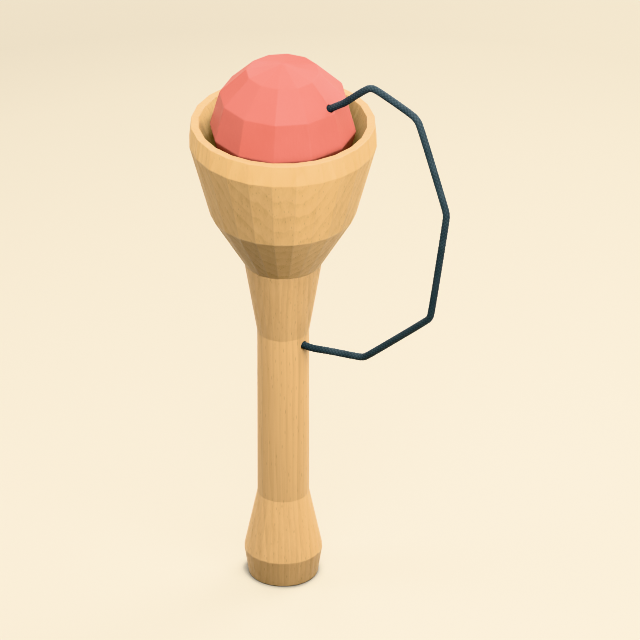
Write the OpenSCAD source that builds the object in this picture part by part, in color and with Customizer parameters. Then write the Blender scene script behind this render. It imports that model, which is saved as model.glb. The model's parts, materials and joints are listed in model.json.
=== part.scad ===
// Cup and ball toy: a wooden cup on a handle, and a painted ball on a cord.
// The wood and the ball are cut into flats. Lengths are in millimetres, angles in degrees.
// The toy stands on its foot at the origin, +Z up, and its cord bows out towards +X.

/* [Handle] */
// Flats round the handle and the cup
wood_sides = 24; // [16:4:32]
// Width of the foot where it stands
foot_base_d = 23.6; // [18:0.2:26]
// Width of the foot at its widest
foot_d = 26.8; // [22:0.2:32]
// Height of the foot's undercut band
foot_h = 9.8; // [6:0.2:14]
// Height of the flare between the foot and the grip
flare_h = 21.8; // [14:0.2:30]
// Width of the straight grip
grip_d = 17.8; // [15:0.2:22]
// Length of the straight grip
grip_h = 63.2; // [45:0.2:80]
// Width where the neck meets the cup
neck_d = 26.6; // [22:0.2:32]
// Length of the neck
neck_h = 26.9; // [18:0.2:36]
// Width of the round tenon that holds the cup
tenon_d = 12; // [9:0.5:14]
// Length of the tenon
tenon_h = 14; // [10:0.5:16]

/* [Cup] */
// Width at the top of the cup's cone
bowl_base_d = 49.8; // [44:0.2:56]
// Height of the cone on the neck
cone_h = 19.6; // [16:0.2:26]
// Height of the bowl between the cone and the rim band
bowl_h = 26.8; // [22:0.2:34]
// Width at the lower edge of the rim band
rim_d = 64; // [61:0.2:70]
// Width at the top of the rim band
rim_top_d = 62.6; // [60:0.2:68]
// Height of the rim band
rim_h = 7.4; // [4:0.2:12]
// Width of the mouth at the rim
mouth_d = 57.4; // [55:0.2:59]
// Depth of the hollow below the rim
hollow_depth = 34; // [32:0.2:36]
// Slope of the hollow's wall from upright, on which the ball sits
hollow_taper = 23.3; // [21:0.1:26]
// Radius that rounds the hollow's wall into its floor
hollow_round = 9; // [5:0.5:11]

/* [Ball] */
// Diameter across the ball's corners
ball_d = 50; // [48:0.5:52]
// Flats round the ball
ball_sides = 12; // [8:2:12]
// Rows of flats from the ball's lowest point to its highest
ball_rows = 6; // [4:2:10]

/* [Cord] */
// Diameter of the cord
cord_d = 2.4; // [1.5:0.1:3]
// Slope of the hole through the ball, above level
ball_hole_tilt = 35; // [30:0.1:45]
// Drop of the handle's cord hole below the neck
cord_hole_drop = 3.3; // [2:0.1:12]
// Diameter of a stopper knot
knot_d = 5.6; // [5:0.1:6.4]
// How far a knot's middle lies behind its bearing face
knot_set = 1.6; // [1:0.1:2]
// How far a knot's outer end lies below the surface round its pocket
knot_sink = 1.5; // [1:0.1:2]

/* [Clearances] */
// Glue gap round the tenon and over its end
glue_gap = 0.1; // [0.05:0.05:0.2]
// Gap between the ball and its seat, and behind its knot
seat_gap = 0.3; // [0.2:0.05:0.5]
// Gap between the cord and the wall of its holes
cord_gap = 0.3; // [0.2:0.05:0.5]
// Gap between a knot and the wall of its pocket
knot_gap = 0.4; // [0.3:0.1:0.8]
// How far the cord's ends stand out of their holes
cord_stub = 0.5; // [0.3:0.1:1]

/* [Hidden] */

wood_colour = [0.90, 0.71, 0.48];
ball_colour = [0.94, 0.53, 0.47];
cord_colour = [0.15, 0.22, 0.25];

// Smoothness of the round holes, the tenon and the knots
round_fn = 48;
// Sides of the cord's tube
cord_sides = 8;
// Longest step between rings of the cord's tube, in cord diameters
cord_ring_step = 3;
// Flats in the curve between the hollow's wall and its floor
hollow_steps = 4;
// How far a cutter runs past the surface that it opens
cut_over = 1;

// Heights of the profile's corners above the foot
flare_top = foot_h + flare_h;
grip_top = flare_top + grip_h;
shoulder_z = grip_top + neck_h;
cone_top = shoulder_z + cone_h;
rim_low = cone_top + bowl_h;
rim_z = rim_low + rim_h;

// The hollow's wall is a straight slope, so the ball's height follows from its own size
mouth_r = mouth_d / 2;
mouth_flat_r = mouth_r * cos(180 / wood_sides);
ball_r = ball_d / 2;
ball_sink = (mouth_flat_r - (ball_r + seat_gap) / cos(hollow_taper)) / tan(hollow_taper);
ball_z = rim_z - ball_sink;

// Centre of the curve between the hollow's wall and its floor
round_z = rim_z - hollow_depth + hollow_round;
round_r = mouth_r - (rim_z - round_z) * tan(hollow_taper) - hollow_round / cos(hollow_taper);

// Holes and pockets of the cord
cord_hole_d = cord_d + 2 * cord_gap;
cord_hole_z = grip_top - cord_hole_drop;
knot_h = knot_set + knot_d / 2;
pocket_d = knot_d + 2 * knot_gap;
ball_pocket_floor = ball_r - knot_sink - knot_h - seat_gap;
handle_pocket_floor = grip_d / 2 - knot_sink - knot_h;

// Where the cord leaves the ball and the handle
ball_hole_axis = [cos(ball_hole_tilt), 0, sin(ball_hole_tilt)];
ball_exit = [0, 0, ball_z] + (ball_r + cord_stub) * ball_hole_axis;
handle_exit = [grip_d / 2 + cord_stub, 0, cord_hole_z];
// Straight lead of the cord out of the ball
ball_lead = 6;

// Bends of the free cord in the XZ plane, from the ball to the handle.
// Each is [distance from the axis, height above the handle's cord hole].
cord_bends = [
    [35.1, 108.4], [37.3, 109.6], [39.8, 109.5],
    [54.3, 105.1], [56.4, 103.8], [57.8, 101.8],
    [68.4, 73.4], [68.9, 71.3], [68.8, 69],
    [62.7, 30.9], [62, 28.9], [60.7, 27.3],
    [35.9, 5.2], [34.1, 4], [32.1, 3.4],
    [20, 1.5], [15, 0.5], [12, 0]
];
cord_route = concat(
    [ball_exit, ball_exit + ball_lead * ball_hole_axis],
    [for (bend = cord_bends) [bend[0], 0, cord_hole_z + bend[1]]],
    [handle_exit]
);

handle_profile = [
    [foot_base_d / 2, 0],
    [foot_d / 2, foot_h],
    [grip_d / 2, flare_top],
    [grip_d / 2, grip_top],
    [neck_d / 2, shoulder_z]
];
cup_profile = [
    [neck_d / 2, shoulder_z],
    [bowl_base_d / 2, cone_top],
    [rim_d / 2, rim_low],
    [rim_top_d / 2, rim_z]
];
hollow_profile = concat(
    [for (k = [0:hollow_steps])
        let (turn = -90 + k * (90 - hollow_taper) / hollow_steps)
        [round_r + hollow_round * cos(turn), round_z + hollow_round * sin(turn)]],
    [[mouth_r + cut_over * tan(hollow_taper), rim_z + cut_over]]
);
ball_profile = [
    for (k = [0:ball_rows])
        let (latitude = -90 + 180 * k / ball_rows)
        [ball_r * cos(latitude), ball_r * sin(latitude)]
];

// Faces of a closed skin over rings of corners, with a flat cap at each end
function skin_faces(rings, sides) = concat(
    [[for (i = [0:sides - 1]) i]],
    [[for (i = [0:sides - 1]) rings * sides - 1 - i]],
    [for (k = [0:rings - 2]) for (i = [0:sides - 1])
        let (low = k * sides, next = (i + 1) % sides)
        [low + i, low + sides + i, low + sides + next, low + next]]
);

// Route with points added so that none lies further than step from the next
function fill_route(route, step) = concat(
    [for (i = [0:len(route) - 2])
        let (leg = route[i + 1] - route[i], parts = ceil(norm(leg) / step))
        for (k = [0:parts - 1]) route[i] + leg * k / parts],
    [route[len(route) - 1]]
);

// Direction of a route at one of its points
function heading(route, i) =
    let (leg = route[min(i + 1, len(route) - 1)] - route[max(i - 1, 0)])
    leg / norm(leg);

// Solid with flat sides round the Z axis, from a profile of [radius, height]
module facet_lathe(profile, sides) {
    corners = [
        for (p = profile) for (i = [0:sides - 1])
            [p[0] * cos(360 * i / sides), p[0] * sin(360 * i / sides), p[1]]
    ];
    polyhedron(corners, skin_faces(len(profile), sides));
}

// Tube along a route that lies in the XZ plane
module flat_route_tube(route, d, sides) {
    corners = [
        for (i = [0:len(route) - 1])
            let (ahead = heading(route, i), across = [-ahead[2], 0, ahead[0]])
            for (k = [0:sides - 1])
                let (turn = 360 * k / sides)
                route[i] + d / 2 * (cos(turn) * across - sin(turn) * [0, 1, 0])
    ];
    polyhedron(corners, skin_faces(len(route), sides));
}

// Places a child's +Z along the hole through the ball, from the ball's centre
module along_ball_hole() {
    translate([0, 0, ball_z]) rotate([0, 90 - ball_hole_tilt, 0]) children();
}

// Places a child's +Z along the handle's cord hole, from the handle's axis
module along_handle_hole() {
    translate([0, 0, cord_hole_z]) rotate([0, 90, 0]) children();
}

// Cord hole through the origin along Z, with a knot pocket below pocket_floor
module cord_drilling(reach, pocket_floor) {
    cylinder(d = cord_hole_d, h = 2 * reach, center = true, $fn = round_fn);
    translate([0, 0, -reach]) cylinder(d = pocket_d, h = reach - pocket_floor, $fn = round_fn);
}

// Straight length of cord along Z
module cord_length(from, to) {
    translate([0, 0, from]) cylinder(d = cord_d, h = to - from, $fn = round_fn);
}

// Stopper knot below its flat bearing face
module knot(face_z) {
    translate([0, 0, face_z]) intersection() {
        translate([0, 0, -knot_set]) sphere(d = knot_d, $fn = round_fn);
        translate([0, 0, -knot_d]) cube([2 * knot_d, 2 * knot_d, 2 * knot_d], center = true);
    }
}

module handle() {
    color(wood_colour) difference() {
        union() {
            facet_lathe(handle_profile, wood_sides);
            translate([0, 0, shoulder_z]) cylinder(d = tenon_d, h = tenon_h, $fn = round_fn);
        }
        along_handle_hole() cord_drilling(grip_d / 2 + cut_over, handle_pocket_floor);
    }
}

module cup() {
    color(wood_colour) difference() {
        facet_lathe(cup_profile, wood_sides);
        facet_lathe(hollow_profile, wood_sides);
        translate([0, 0, shoulder_z - cut_over])
            cylinder(d = tenon_d + 2 * glue_gap, h = cut_over + tenon_h + glue_gap, $fn = round_fn);
    }
}

module ball() {
    color(ball_colour) difference() {
        translate([0, 0, ball_z]) rotate_extrude($fn = ball_sides) polygon(ball_profile);
        along_ball_hole() cord_drilling(ball_r + cut_over, ball_pocket_floor);
    }
}

module cord() {
    color(cord_colour)
        flat_route_tube(fill_route(cord_route, cord_ring_step * cord_d), cord_d, cord_sides);
}

module ball_cord_end() {
    color(cord_colour) along_ball_hole()
        cord_length(-ball_pocket_floor - seat_gap, ball_r + cord_stub);
}

module ball_knot() {
    color(cord_colour) along_ball_hole() knot(-ball_pocket_floor - seat_gap);
}

module handle_cord_end() {
    color(cord_colour) along_handle_hole()
        cord_length(-handle_pocket_floor, grip_d / 2 + cord_stub);
}

module handle_knot() {
    color(cord_colour) along_handle_hole() knot(-handle_pocket_floor);
}

handle();
cup();
ball();
cord();
ball_cord_end();
ball_knot();
handle_cord_end();
handle_knot();
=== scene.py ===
"""Looks of the cup and ball toy: softened wood and ball, braided cord, floor, light and camera.

Lengths are in metres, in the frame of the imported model: the foot stands at the origin, +Z is up,
and the cord bows out towards +X.
"""

import json
import math

import bmesh
import bpy
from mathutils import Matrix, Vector


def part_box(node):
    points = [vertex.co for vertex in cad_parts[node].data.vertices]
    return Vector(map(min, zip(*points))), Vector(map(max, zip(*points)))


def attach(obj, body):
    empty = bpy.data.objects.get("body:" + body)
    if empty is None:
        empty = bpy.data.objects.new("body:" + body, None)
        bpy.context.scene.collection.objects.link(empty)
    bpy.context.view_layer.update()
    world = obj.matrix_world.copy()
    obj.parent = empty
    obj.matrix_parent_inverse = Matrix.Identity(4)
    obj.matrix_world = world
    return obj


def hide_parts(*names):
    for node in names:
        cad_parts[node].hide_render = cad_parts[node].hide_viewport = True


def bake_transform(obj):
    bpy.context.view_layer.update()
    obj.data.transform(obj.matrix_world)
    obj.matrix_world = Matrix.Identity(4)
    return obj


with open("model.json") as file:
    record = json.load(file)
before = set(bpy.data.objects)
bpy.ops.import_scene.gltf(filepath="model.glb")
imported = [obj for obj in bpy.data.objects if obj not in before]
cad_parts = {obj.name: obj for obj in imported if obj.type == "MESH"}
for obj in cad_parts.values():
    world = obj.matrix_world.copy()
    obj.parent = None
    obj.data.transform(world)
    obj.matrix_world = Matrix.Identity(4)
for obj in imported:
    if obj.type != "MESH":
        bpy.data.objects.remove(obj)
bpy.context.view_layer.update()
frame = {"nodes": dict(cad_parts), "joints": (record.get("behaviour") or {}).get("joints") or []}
scene = bpy.context.scene

# Upwards, and square to the upright plane that the cord lies in
UP = Vector((0, 0, 1))
ACROSS = Vector((0, 1, 0))

# Camera, fitted to the photograph's outline: it looks at a height on the toy's axis, shifted to the
# picture's right and up
VIEW_AZIMUTH = math.radians(36.87)
VIEW_ELEVATION = math.radians(29.83)
VIEW_DISTANCE = 7.2585
VIEW_CENTRE_Z = 0.08913
VIEW_SHIFT_RIGHT = 0.01254
VIEW_SHIFT_UP = 0.00793
LENS_MM = 1200
SENSOR_MM = 36
PIXEL_FILTER = 1.0

# Cord, with its route repeated from the part's source. Its end in the ball stands out by a stub, and a
# lead runs on straight from there
CORD_DIAMETER = 0.0024
BALL_RADIUS = 0.025
CORD_STUB = 0.0005
BALL_LEAD = 0.006
# Bends of the free cord in the XZ plane: distance from the axis, height above the handle's cord hole
CORD_BENDS = [
    (0.0351, 0.1084), (0.0373, 0.1096), (0.0398, 0.1095),
    (0.0543, 0.1051), (0.0564, 0.1038), (0.0578, 0.1018),
    (0.0684, 0.0734), (0.0689, 0.0713), (0.0688, 0.0690),
    (0.0627, 0.0309), (0.0620, 0.0289), (0.0607, 0.0273),
    (0.0359, 0.0052), (0.0341, 0.0040), (0.0321, 0.0034),
    (0.0200, 0.0015), (0.0150, 0.0005), (0.0120, 0.0000),
]
# The route's corners are cut in rounds, and each cut takes this share of a leg at both ends
CORNER_ROUNDS = 3
CORNER_CUT = 0.25
CORD_RING_STEP = 0.0002
CORD_SIDES = 36

# Braid: strands each way round, length of a strand's full turn, height of the strands' crowns above the
# cord's nominal radius, and depth of the grooves below the crowns. Where a strand dives under another, it
# keeps a share of its height
BRAID_STRANDS = 6
BRAID_PITCH = 0.0085
BRAID_CROWN = 0.00008
BRAID_DEPTH = 0.00018
BRAID_DIVE = 0.45
STRAND_MARK = "strand"

# Stopper knots: a pulled-tight overhand knot, set above its bearing face
KNOT_CORD_RADIUS = 0.00085
KNOT_LOOP = 0.00064
KNOT_RISE = 0.00085
KNOT_SET = 0.0017
KNOT_RINGS = 128
KNOT_SIDES = 24
# The knot's short tail, from and to a height above the face, and how far its tip leans over
KNOT_TAIL_START = 0.0012
KNOT_TAIL_END = 0.0052
KNOT_TAIL_LEAN = 0.0011
KNOT_TAIL_RINGS = 41
# Length of the tail's sealed tip, and how far the tip draws in: 1 closes it to a point
KNOT_TIP = 0.0006
KNOT_TIP_DRAW = 0.95

# Softened edges: width, steps and section of the rounding, and the least turn and the least length, in
# widths, of an edge that is rounded
WOOD_EDGE = 0.0003
BALL_EDGE = 0.00035
EDGE_SEGMENTS = 2
EDGE_PROFILE = 0.5
EDGE_LEAST_ANGLE = math.radians(6)
EDGE_LEAST_WIDTHS = 4
EDGE_MARK = "edge"
# Distance of corners that are welded, width of slivers that are taken out, and turn within one flat
WELD_DISTANCE = 0.00015
SLIVER_WIDTH = 0.00002
FLAT_ANGLE = math.radians(0.5)
# Shading: turn that is sharp on a rounded edge or in a hole, largest facet of a hole, and how firmly the
# large faces stay flat
SHARP_ANGLE = math.radians(40)
HOLE_FACET_AREA = 0.000012
FLAT_WEIGHT = 100

# Noise runs from 0 to 1, mostly within this range. A spot is full within this share of its size
NOISE_RANGE = (0.3, 0.7)
SPOT_CORE = 0.4
# Sockets of a mixing node for two colours and their mixture
MIX_FIRST = 6
MIX_SECOND = 7
MIX_RESULT = 2

# Wood: colours from pale to dark, then of flecks and of rubbed edges
HANDLE_TONES = [
    (0.0, (0.80, 0.515, 0.244)),
    (0.5, (0.72, 0.445, 0.202)),
    (1.0, (0.56, 0.322, 0.134)),
]
CUP_TONES = [
    (0.0, (0.84, 0.545, 0.250)),
    (0.5, (0.757, 0.472, 0.207)),
    (1.0, (0.588, 0.341, 0.137)),
]
WOOD_FLECK = (0.40, 0.215, 0.088)
WOOD_BURNISH = (0.68, 0.415, 0.190)
# Where the tree's pith lay beside each piece, and a shift that gives each piece its own grain
HANDLE_PITH = (0.034, 0.021)
HANDLE_SHIFT = (0, 0, 0)
CUP_PITH = (-0.041, 0.052)
CUP_SHIFT = (11, 5, 3)
# Growth rings: width, lean of the grain out of the upright, sway of the rings in ring widths, and the
# shares of the width at which the late wood starts and is darkest
RING_WIDTH = 0.0019
GRAIN_LEAN = math.radians(2.5)
WANDER_SWAY = 2.6
RIPPLE_SWAY = 0.2
LATE_START = 0.15
LATE_FULL = 0.9
# Features to the metre: twice across the grain, then along it
WANDER_SCALE = (70, 70, 14)
RIPPLE_SCALE = (420, 420, 30)
STREAK_SCALE = (520, 520, 13)
FIBRE_SCALE = (2400, 2400, 70)
FLECK_SCALE = (1050, 1050, 190)
FLECK_SIZE = 0.2
# Range of the fibres' noise, and the range that streaks and fibres are spread to
FIBRE_RANGE = (0.25, 0.75)
GRAIN_CONTRAST = (0.1, 0.9)
# Shares in the wood's tone, and strengths of the flecks and the rubbed edges
LATE_SHARE = 0.24
YEAR_SHARE = 0.14
STREAK_SHARE = 0.32
FIBRE_SHARE = 0.24
FLECK_STRENGTH = 0.4
BURNISH_STRENGTH = 0.3
# Finish: roughness, what the rubbed edges lose of it, height of the fibres, and depth of late wood and
# flecks as a share of that height
WOOD_ROUGHNESS = (0.46, 0.62)
EDGE_POLISH = 0.1
WOOD_RELIEF = 0.00003
PORE_DEPTH = 0.3
WOOD_SPECULAR = 0.35

# Paint: colours of the film and of its thin edges, features to the metre, and their shifts
PAINT_TONES = [
    (0.25, (0.545, 0.141, 0.103)),
    (0.5, (0.572, 0.151, 0.111)),
    (0.75, (0.592, 0.159, 0.118)),
]
PAINT_EDGE = (0.61, 0.178, 0.134)
CLOUD_SCALE = (95, 95, 95)
CLOUD_SHIFT = (3, 1, 7)
UNDERGRAIN_SCALE = (1300, 1300, 55)
UNDERGRAIN_SHIFT = (5, 2, 0)
PEEL_SCALE = (1500, 1500, 1500)
PEEL_SHIFT = (0, 4, 2)
SPECK_SCALE = (420, 420, 420)
SPECK_SHIFT = (2, 8, 1)
SPECK_SIZE = 0.11
# Share of the clouds in the tone, of which the grain has the rest, then wear of the edges, and specks
CLOUD_SHARE = 0.7
WEAR_RANGE = (0.35, 0.65)
WEAR_MOST = 0.2
SPECK_STRENGTH = 0.25
# Finish: roughness, what the peel adds to it, height of the relief, and shares of grain and peel in it
PAINT_ROUGHNESS = (0.42, 0.54)
PEEL_ROUGHNESS = 0.08
PAINT_RELIEF = 0.00004
UNDERGRAIN_HEIGHT = 0.8
PEEL_HEIGHT = 0.5
PAINT_SPECULAR = 0.28

# Cord: colours from a groove's painted shade to a crown's painted highlight, yarn and fading to the
# metre, and their shares in the tone
CORD_GROOVE_SHADE_TONES = [
    (0.0, (0.009, 0.015, 0.018)),
    (0.6, (0.036, 0.055, 0.064)),
    (1.0, (0.070, 0.098, 0.110)),
]
YARN_SCALE = (5200, 5200, 5200)
FADING_SCALE = (160, 160, 160)
FADING_SHIFT = (1, 5, 3)
# Share of the braid's height in the tone: it paints shade into the grooves and a highlight onto the
# crowns
GROOVE_SHADE_SHARE = 0.62
YARN_SHARE = 0.3
FADING_TONE = (-0.08, 0.12)
CORD_ROUGHNESS = (0.4, 0.6)
YARN_RELIEF = 0.00006
CORD_SPECULAR = 0.12

# Floor: colours near the toy and far from it, the far one darker as painted shade, size, and how far from
# the foot its contact shade reaches
FLOOR_TONES = [
    (0.3, (0.892, 0.782, 0.608)),
    (0.7, (0.908, 0.798, 0.622)),
]
FLOOR_FAR_SHADE = (0.54, 0.475, 0.369)
FLOOR_CLOUD_SCALE = (9, 9, 9)
FLOOR_ROUGHNESS = 0.9
FLOOR_HALF = 3.0
FLOOR_DROP = 0.0001
CONTACT_REACH = 0.0032
# Backdrop, and the distances from the toy over which the floor takes on its painted far shade and then
# the glow
BACKDROP = (0.90, 0.80, 0.63, 1)
BACKDROP_STRENGTH = 1.06
FAR_SHADE_START = 0.12
FAR_SHADE_END = 0.42
GLOW_START = 0.38
GLOW_FULL = 0.60

# Lights: name, azimuth from the camera round to its right, elevation, distance, disc size, power
LIGHT_AIM = Vector((0, 0, 0.1))
SOFTBOXES = [
    ("front_high", 0, 55, 0.5, 0.3, 2.78),
    ("front_right", 45, 25, 0.5, 0.3, 2.02),
    ("back_right_high", 135, 55, 0.5, 0.3, 2.09),
    ("back_right_low", 135, 25, 0.5, 0.3, 1.40),
    ("back_wide", 200, 30, 1.5, 0.8, 10.0),
    ("left_wide", 270, 30, 1.5, 0.8, 14.8),
]


# Camera


def view_level():
    """Level directions towards the camera and towards its right."""
    towards = Vector((math.sin(VIEW_AZIMUTH), -math.cos(VIEW_AZIMUTH), 0))
    right = Vector((math.cos(VIEW_AZIMUTH), math.sin(VIEW_AZIMUTH), 0))
    return towards, right


def make_camera():
    towards, right = view_level()
    back = math.cos(VIEW_ELEVATION) * towards + math.sin(VIEW_ELEVATION) * UP
    up = back.cross(right)
    target = VIEW_CENTRE_Z * UP + VIEW_SHIFT_RIGHT * right + VIEW_SHIFT_UP * up
    data = bpy.data.cameras.new("camera")
    data.lens = LENS_MM
    data.sensor_width = SENSOR_MM
    camera = bpy.data.objects.new("camera", data)
    scene.collection.objects.link(camera)
    camera.location = target + VIEW_DISTANCE * back
    camera.rotation_euler = (-back).to_track_quat("-Z", "Y").to_euler()
    scene.camera = camera
    scene.cycles.filter_width = PIXEL_FILTER


# Meshes


def add_piece(name, bm, material):
    """New object from a bmesh, which is freed."""
    mesh = bpy.data.meshes.new(name)
    bm.to_mesh(mesh)
    bm.free()
    piece = bpy.data.objects.new(name, mesh)
    scene.collection.objects.link(piece)
    mesh.materials.append(material)
    return piece


def round_outer_edges(bm, edge_width):
    """Round off the long outer edges, and return the layer that marks the rounded faces with 1."""
    bm.normal_update()
    mark = bm.faces.layers.float.new(EDGE_MARK)
    outer_edges = [
        edge for edge in bm.edges
        if edge.is_convex and edge.calc_length() > EDGE_LEAST_WIDTHS * edge_width
        and edge.calc_face_angle(0) > EDGE_LEAST_ANGLE
    ]
    made = bmesh.ops.bevel(
        bm, geom=outer_edges, offset=edge_width, offset_type="OFFSET",
        segments=EDGE_SEGMENTS, profile=EDGE_PROFILE, affect="EDGES", clamp_overlap=False,
    )
    for face in made["faces"]:
        face[mark] = 1.0
    bmesh.ops.dissolve_degenerate(bm, edges=bm.edges, dist=SLIVER_WIDTH)
    return mark


def smooth_roundings(bm, mark):
    """Shade the roundings and the small holes smooth, and keep every other edge sharp."""
    for face in bm.faces:
        face.smooth = True
    bm.normal_update()
    for edge in bm.edges:
        on_edge = edge.is_convex and any(face[mark] for face in edge.link_faces)
        in_hole = all(face.calc_area() < HOLE_FACET_AREA and not face[mark] for face in edge.link_faces)
        edge.smooth = edge.calc_face_angle(0) < (SHARP_ANGLE if on_edge or in_hole else FLAT_ANGLE)


def softened(node, name, edge_width, material):
    """Copy of a CAD node with outer edges rounded off, flats kept flat and small holes kept round."""
    bm = bmesh.new()
    bm.from_mesh(frame["nodes"][node].data)
    bmesh.ops.remove_doubles(bm, verts=bm.verts, dist=WELD_DISTANCE)
    bmesh.ops.dissolve_limit(bm, angle_limit=FLAT_ANGLE, verts=bm.verts, edges=bm.edges)
    mark = round_outer_edges(bm, edge_width)
    smooth_roundings(bm, mark)
    piece = add_piece(name, bm, material)
    normals = piece.modifiers.new("flat faces", "WEIGHTED_NORMAL")
    normals.mode = "FACE_AREA"
    normals.weight = FLAT_WEIGHT
    normals.keep_sharp = True
    return piece


def cut_corners(points, rounds):
    """Smooth curve inside a route of straight legs, with both ends kept."""
    for _ in range(rounds):
        cut = [points[0]]
        for a, b in zip(points, points[1:]):
            cut += [a.lerp(b, CORNER_CUT), a.lerp(b, 1 - CORNER_CUT)]
        points = cut + [points[-1]]
    return points


def even_steps(points, step):
    """Points at even distances along a route of straight legs."""
    legs = [(b - a).length for a, b in zip(points, points[1:])]
    count = round(sum(legs) / step)
    gap = sum(legs) / count
    spaced = [points[0]]
    leg, done = 0, 0.0
    for k in range(1, count):
        while done + legs[leg] < k * gap:
            done += legs[leg]
            leg += 1
        spaced.append(points[leg].lerp(points[leg + 1], (k * gap - done) / legs[leg]))
    return spaced + [points[-1]]


def braid_height(turn, along):
    """Height of the braid's surface, from 0 in a groove to 1 on a strand.

    The place on the cord is a part of a turn round it, and a length along it in pitches.
    """
    lean_right = BRAID_STRANDS * (turn + along)
    lean_left = BRAID_STRANDS * (turn - along)
    right_over = (math.floor(lean_right) + math.floor(lean_left)) % 2 == 0
    across, lengthwise = (lean_right, lean_left) if right_over else (lean_left, lean_right)
    crown = math.sin(math.pi * (across % 1))
    dive = math.sin(math.pi * (lengthwise % 1))
    return math.sqrt(crown) * (BRAID_DIVE + (1 - BRAID_DIVE) * math.sqrt(dive))


def braided_tube(bm, path, sideways, radii, sides, closed=False):
    """Braided cord along a path, with a direction across it and a radius for each point of the path.

    The braid's relief follows the first radius, and an open tube gets a cap at each end.
    """
    mark = bm.verts.layers.float.get(STRAND_MARK) or bm.verts.layers.float.new(STRAND_MARK)
    tightness = radii[0] / (CORD_DIAMETER / 2)
    count = len(path)
    length = 0.0
    rows = []
    for k, point in enumerate(path):
        before = path[k - 1] if closed or k else point
        after = path[(k + 1) % count] if closed or k + 1 < count else point
        ahead = (after - before).normalized()
        outward = (sideways[k] - sideways[k].dot(ahead) * ahead).normalized()
        third = ahead.cross(outward)
        if k:
            length += (point - path[k - 1]).length
        row = []
        for i in range(sides):
            turn = i / sides
            angle = 2 * math.pi * turn
            height = braid_height(turn, length / (BRAID_PITCH * tightness))
            relief = tightness * (BRAID_CROWN - BRAID_DEPTH * (1 - height))
            reach = radii[k] * (1 + relief / radii[0])
            corner = bm.verts.new(point + reach * (math.cos(angle) * outward + math.sin(angle) * third))
            corner[mark] = height
            row.append(corner)
        rows.append(row)
    following = rows[1:] + rows[:1] if closed else rows[1:]
    for row, next_row in zip(rows, following):
        for i in range(sides):
            j = (i + 1) % sides
            bm.faces.new((row[i], row[j], next_row[j], next_row[i])).smooth = True
    if not closed:
        bm.faces.new(reversed(rows[0]))
        bm.faces.new(rows[-1])


def make_cord(material):
    """The cord from the handle's knot, round to the ball and through it to the ball's knot.

    Returns the piece, its path, where it leaves the handle, and the bearing faces of both knots, the
    ball's first, each as a point and a direction outward.
    """
    spin = next(joint for joint in frame["joints"] if joint["name"] == "ball_spin")
    centre, axis = Vector(spin["pos_m"]), Vector(spin["axis"])
    ball_low, ball_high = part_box("ball_cord_end")
    handle_low, handle_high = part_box("handle_cord_end")
    hole_z = (handle_low.z + handle_high.z) / 2
    ball_middle_x = (ball_low.x + ball_high.x) / 2
    ball_exit = centre + (BALL_RADIUS + CORD_STUB) * axis
    ball_end = ball_exit - 2 * (ball_exit.x - ball_middle_x) / axis.x * axis
    bends = [Vector((x, 0, hole_z + height)) for x, height in CORD_BENDS]
    handle_exit = Vector((handle_high.x, 0, hole_z))
    handle_end = Vector((handle_low.x, 0, hole_z))
    free = cut_corners([ball_exit + BALL_LEAD * axis, *bends, handle_exit], CORNER_ROUNDS)
    path = even_steps([ball_end, ball_exit, *free, handle_end], CORD_RING_STEP)
    path.reverse()
    bm = bmesh.new()
    braided_tube(bm, path, [ACROSS] * len(path), [CORD_DIAMETER / 2] * len(path), CORD_SIDES)
    piece = add_piece("braided_cord", bm, material)
    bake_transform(piece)
    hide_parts("cord", "ball_cord_end", "handle_cord_end")
    return piece, path, handle_exit, (ball_end, -axis), (handle_end, Vector((-1, 0, 0)))


def make_knot(name, face, outward, node, body, material):
    """Overhand knot on its bearing face, with a short tail that points outward."""
    other = outward.cross(ACROSS)
    middle = face + KNOT_SET * outward
    loop = []
    for k in range(KNOT_RINGS):
        t = 2 * math.pi * k / KNOT_RINGS
        loop.append(
            middle
            + KNOT_LOOP * (math.sin(t) + 2 * math.sin(2 * t)) * ACROSS
            + KNOT_LOOP * (math.cos(t) - 2 * math.cos(2 * t)) * other
            - KNOT_RISE * math.sin(3 * t) * outward
        )
    tail = []
    tail_radii = []
    for k in range(KNOT_TAIL_RINGS):
        part = k / (KNOT_TAIL_RINGS - 1)
        rise = KNOT_TAIL_START + part * (KNOT_TAIL_END - KNOT_TAIL_START)
        tail.append(face + rise * outward + KNOT_TAIL_LEAN * part * part * (ACROSS + other).normalized())
        into_tip = max(0, 1 - (KNOT_TAIL_END - rise) / KNOT_TIP)
        tail_radii.append(KNOT_CORD_RADIUS * math.sqrt(1 - (KNOT_TIP_DRAW * into_tip) ** 2))
    bm = bmesh.new()
    loop_radii = [KNOT_CORD_RADIUS] * len(loop)
    braided_tube(bm, loop, [point - middle for point in loop], loop_radii, KNOT_SIDES, closed=True)
    braided_tube(bm, tail, [ACROSS] * len(tail), tail_radii, KNOT_SIDES)
    bmesh.ops.recalc_face_normals(bm, faces=bm.faces)
    piece = add_piece(name, bm, material)
    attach(piece, body)
    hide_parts(node)
    return piece


# Materials


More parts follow.
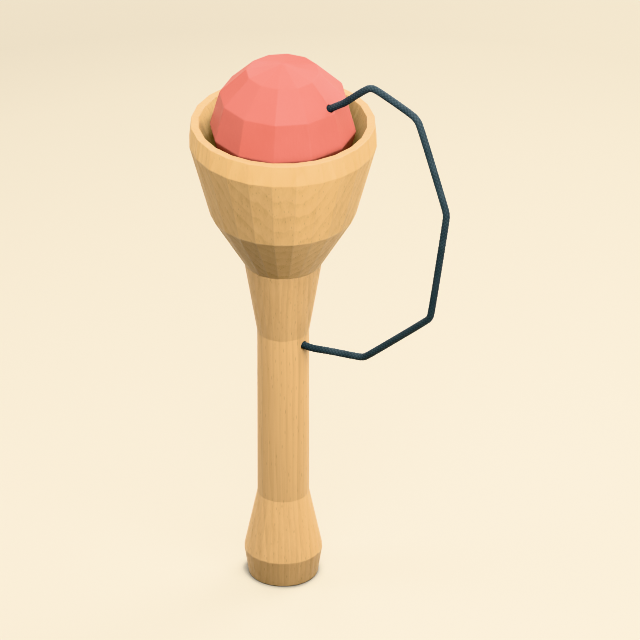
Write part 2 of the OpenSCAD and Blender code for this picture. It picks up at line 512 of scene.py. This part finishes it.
class Look:
    """A material, with short calls that add nodes to it.

    A value that is fed to a node is a number, a tuple or another node's output.
    """

    def __init__(self, name):
        self.material = bpy.data.materials.new(name)
        self.material.use_nodes = True
        self.tree = self.material.node_tree
        self.shader = self.tree.nodes["Principled BSDF"]
        self.place = self.node("ShaderNodeTexCoord", {}).outputs["Object"]

    def feed(self, socket, value):
        if isinstance(value, bpy.types.NodeSocket):
            self.tree.links.new(value, socket)
        else:
            socket.default_value = value

    def node(self, kind, inputs, **settings):
        node = self.tree.nodes.new(kind)
        for name, value in settings.items():
            setattr(node, name, value)
        for name, value in inputs.items():
            self.feed(node.inputs[name], value)
        return node

    def shade(self, **values):
        """Set or link the shader's sockets, named with _ for each space."""
        for name, value in values.items():
            self.feed(self.shader.inputs[name.replace("_", " ")], value)

    def math(self, operation, a, b=0.0):
        return self.node("ShaderNodeMath", {0: a, 1: b}, operation=operation).outputs[0]

    def add(self, a, b):
        return self.math("ADD", a, b)

    def times(self, a, b):
        return self.math("MULTIPLY", a, b)

    def scaled(self, scale, shift=(0, 0, 0), turn=(0, 0, 0)):
        """Coordinates on the piece, in metres, scaled and turned, then shifted."""
        inputs = {"Vector": self.place, "Scale": scale, "Location": shift, "Rotation": turn}
        return self.node("ShaderNodeMapping", inputs).outputs[0]

    def noise(self, scale, shift=(0, 0, 0), detail=2.0, turn=(0, 0, 0)):
        inputs = {"Vector": self.scaled(scale, shift, turn), "Scale": 1.0, "Detail": detail}
        return self.node("ShaderNodeTexNoise", inputs).outputs["Fac"]

    def spots(self, scale, shift, size):
        """1 at the middle of scattered spots, falling to 0 at their edge."""
        inputs = {"Vector": self.scaled(scale, shift), "Scale": 1.0}
        distance = self.node("ShaderNodeTexVoronoi", inputs).outputs["Distance"]
        return self.span(distance, size, SPOT_CORE * size, 0.0, 1.0)

    def span(self, value, low, high, to_low, to_high):
        """Value mapped from one range to another and held inside it."""
        inputs = {"Value": value, "From Min": low, "From Max": high, "To Min": to_low, "To Max": to_high}
        return self.node("ShaderNodeMapRange", inputs).outputs[0]

    def tones(self, value, stops):
        ramp = self.node("ShaderNodeValToRGB", {"Fac": value})
        elements = ramp.color_ramp.elements
        while len(elements) < len(stops):
            elements.new(1.0)
        for element, (position, colour) in zip(elements, stops):
            element.position = position
            element.color = (*colour, 1)
        return ramp.outputs["Color"]

    def mix(self, share, a, b):
        node = self.node("ShaderNodeMix", {0: share}, data_type="RGBA")
        self.feed(node.inputs[MIX_FIRST], a)
        self.feed(node.inputs[MIX_SECOND], b if isinstance(b, bpy.types.NodeSocket) else (*b, 1))
        return node.outputs[MIX_RESULT]

    def mark(self, name):
        return self.node("ShaderNodeAttribute", {}, attribute_name=name).outputs["Fac"]

    def bump(self, height, depth):
        inputs = {"Height": height, "Distance": depth, "Strength": 1.0}
        return self.node("ShaderNodeBump", inputs).outputs[0]


def wood_material(name, tones, pith, shift):
    """Pale hardwood with upright grain: growth rings round a pith beside the piece, fibres, flecks."""
    look = Look(name)
    lean = (GRAIN_LEAN, -GRAIN_LEAN, 0)
    across = look.scaled((1, 1, 0), turn=lean)
    from_pith = look.node(
        "ShaderNodeVectorMath", {0: across, 1: (*pith, 0)}, operation="DISTANCE",
    ).outputs["Value"]
    wander = look.noise(WANDER_SCALE, shift, detail=3)
    ripple = look.noise(RIPPLE_SCALE, shift)
    rings = look.add(look.times(from_pith, 1 / RING_WIDTH), look.times(wander, WANDER_SWAY))
    rings = look.add(rings, look.times(ripple, RIPPLE_SWAY))
    part = look.math("FRACT", rings)
    darkening = look.span(part, LATE_START, LATE_FULL, 0, 1)
    late = look.times(darkening, look.span(part, LATE_FULL, 1.0, 1, 0))
    year = look.node(
        "ShaderNodeTexWhiteNoise", {"W": look.math("FLOOR", rings)}, noise_dimensions="1D",
    ).outputs["Value"]
    streaks = look.noise(STREAK_SCALE, shift, detail=3, turn=lean)
    fibres = look.noise(FIBRE_SCALE, shift, detail=3, turn=lean)
    flecks = look.spots(FLECK_SCALE, shift, FLECK_SIZE)
    tone = look.add(look.times(late, LATE_SHARE), look.times(year, YEAR_SHARE))
    tone = look.add(tone, look.times(look.span(streaks, *NOISE_RANGE, *GRAIN_CONTRAST), STREAK_SHARE))
    tone = look.add(tone, look.times(look.span(fibres, *FIBRE_RANGE, *GRAIN_CONTRAST), FIBRE_SHARE))
    colour = look.tones(tone, tones)
    colour = look.mix(look.times(flecks, FLECK_STRENGTH), colour, WOOD_FLECK)
    edge = look.mark(EDGE_MARK)
    colour = look.mix(look.times(edge, BURNISH_STRENGTH), colour, WOOD_BURNISH)
    roughness = look.span(fibres, *NOISE_RANGE, *WOOD_ROUGHNESS)
    height = look.add(fibres, look.times(look.add(late, flecks), -PORE_DEPTH))
    look.shade(
        Base_Color=colour,
        Roughness=look.add(roughness, look.times(edge, -EDGE_POLISH)),
        Normal=look.bump(height, WOOD_RELIEF),
        Specular_IOR_Level=WOOD_SPECULAR,
    )
    return look.material


def paint_material():
    """Coral satin paint on wood: faint clouds, wood grain under the film, thin paint along the edges."""
    look = Look("coral_paint")
    clouds = look.noise(CLOUD_SCALE, CLOUD_SHIFT, detail=4)
    grain = look.noise(UNDERGRAIN_SCALE, UNDERGRAIN_SHIFT, detail=2)
    peel = look.noise(PEEL_SCALE, PEEL_SHIFT, detail=1)
    specks = look.spots(SPECK_SCALE, SPECK_SHIFT, SPECK_SIZE)
    tone = look.add(look.times(clouds, CLOUD_SHARE), look.times(grain, 1 - CLOUD_SHARE))
    colour = look.tones(tone, PAINT_TONES)
    worn = look.times(look.mark(EDGE_MARK), look.span(clouds, *WEAR_RANGE, 0.0, WEAR_MOST))
    colour = look.mix(worn, colour, PAINT_EDGE)
    colour = look.mix(look.times(specks, SPECK_STRENGTH), colour, PAINT_EDGE)
    roughness = look.span(clouds, *NOISE_RANGE, *PAINT_ROUGHNESS)
    height = look.add(look.times(grain, UNDERGRAIN_HEIGHT), look.times(peel, PEEL_HEIGHT))
    look.shade(
        Base_Color=colour,
        Roughness=look.add(roughness, look.times(peel, PEEL_ROUGHNESS)),
        Normal=look.bump(height, PAINT_RELIEF),
        Specular_IOR_Level=PAINT_SPECULAR,
    )
    return look.material


def cord_material():
    """Dark slate braid: painted shade in grooves, painted highlight on crowns, yarn varying by strand,
    dull waxed sheen.
    """
    look = Look("slate_cord")
    strand = look.mark(STRAND_MARK)
    yarn = look.noise(YARN_SCALE, detail=3)
    fading = look.noise(FADING_SCALE, FADING_SHIFT)
    # The strand mark darkens the grooves as painted shade and lightens the crowns as a painted highlight
    tone = look.add(look.times(strand, GROOVE_SHADE_SHARE), look.times(yarn, YARN_SHARE))
    tone = look.add(tone, look.span(fading, *NOISE_RANGE, *FADING_TONE))
    look.shade(
        Base_Color=look.tones(tone, CORD_GROOVE_SHADE_TONES),
        Roughness=look.span(yarn, *NOISE_RANGE, *CORD_ROUGHNESS),
        Normal=look.bump(yarn, YARN_RELIEF),
        Specular_IOR_Level=CORD_SPECULAR,
    )
    return look.material


def floor_material():
    """Pale floor: shaded close round the foot, darker far off as painted shade, glowing to meet the
    backdrop.
    """
    look = Look("floor")
    colour = look.tones(look.noise(FLOOR_CLOUD_SCALE, detail=4), FLOOR_TONES)
    distance = look.node("ShaderNodeVectorMath", {0: look.place}, operation="LENGTH").outputs["Value"]
    # Darker far from the toy: painted shade, as if the light fell off away from it
    colour = look.mix(look.span(distance, FAR_SHADE_START, FAR_SHADE_END, 0.0, 1.0), colour, FLOOR_FAR_SHADE)
    contact = {"Color": colour, "Distance": CONTACT_REACH}
    look.shade(
        Base_Color=look.node("ShaderNodeAmbientOcclusion", contact).outputs["Color"],
        Roughness=FLOOR_ROUGHNESS,
        Specular_IOR_Level=0.0,
        Emission_Color=BACKDROP,
        Emission_Strength=look.span(distance, GLOW_START, GLOW_FULL, 0.0, BACKDROP_STRENGTH),
    )
    return look.material


# Floor and light


def make_floor():
    """Floor under the foot, whose far glow gives the toy no diffuse light."""
    bm = bmesh.new()
    bmesh.ops.create_grid(bm, x_segments=1, y_segments=1, size=FLOOR_HALF)
    bmesh.ops.translate(bm, verts=bm.verts, vec=-FLOOR_DROP * UP)
    floor = add_piece("floor", bm, floor_material())
    floor.visible_diffuse = False


def make_backdrop():
    """Pale world that the camera sees beyond the floor, and that gives no light."""
    world = bpy.data.worlds.new("backdrop")
    scene.world = world
    world.use_nodes = True
    background = world.node_tree.nodes["Background"]
    background.inputs["Color"].default_value = BACKDROP
    background.inputs["Strength"].default_value = BACKDROP_STRENGTH
    world.cycles_visibility.diffuse = False
    world.cycles_visibility.glossy = False


def make_light():
    """Soft discs round the toy, with no diffuse light passed on from one surface to another."""
    towards, right = view_level()
    for name, azimuth, elevation, distance, size, power in SOFTBOXES:
        azimuth, elevation = math.radians(azimuth), math.radians(elevation)
        level = math.cos(azimuth) * towards + math.sin(azimuth) * right
        direction = math.cos(elevation) * level + math.sin(elevation) * UP
        data = bpy.data.lights.new(name, "AREA")
        data.shape = "DISK"
        data.size = size
        data.energy = power
        light = bpy.data.objects.new(name, data)
        scene.collection.objects.link(light)
        light.location = LIGHT_AIM + distance * direction
        light.rotation_euler = (-direction).to_track_quat("-Z", "Y").to_euler()
        light.visible_camera = False
    scene.cycles.diffuse_bounces = 0


# The whole scene

make_camera()
cord_look = cord_material()
cord, cord_path, cord_exit, ball_stop, handle_stop = make_cord(cord_look)
knots = [
    make_knot("ball_stopper_knot", *ball_stop, "ball_knot", "ball_tether", cord_look),
    make_knot("handle_stopper_knot", *handle_stop, "handle_knot", "handle", cord_look),
]

handle_look = wood_material("handle_wood", HANDLE_TONES, HANDLE_PITH, HANDLE_SHIFT)
cup_look = wood_material("cup_wood", CUP_TONES, CUP_PITH, CUP_SHIFT)
for node, edge_width, look, slot, body in [
    ("handle", WOOD_EDGE, handle_look, "wood", "handle"),
    ("cup", WOOD_EDGE, cup_look, "wood", "handle"),
    ("ball", BALL_EDGE, paint_material(), "painted_wood", "ball"),
]:
    piece = softened(node, node + "_softened", edge_width, look)
    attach(piece, body)
    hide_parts(node)

make_floor()
make_backdrop()
make_light()
scene.view_settings.view_transform = "Khronos PBR Neutral"
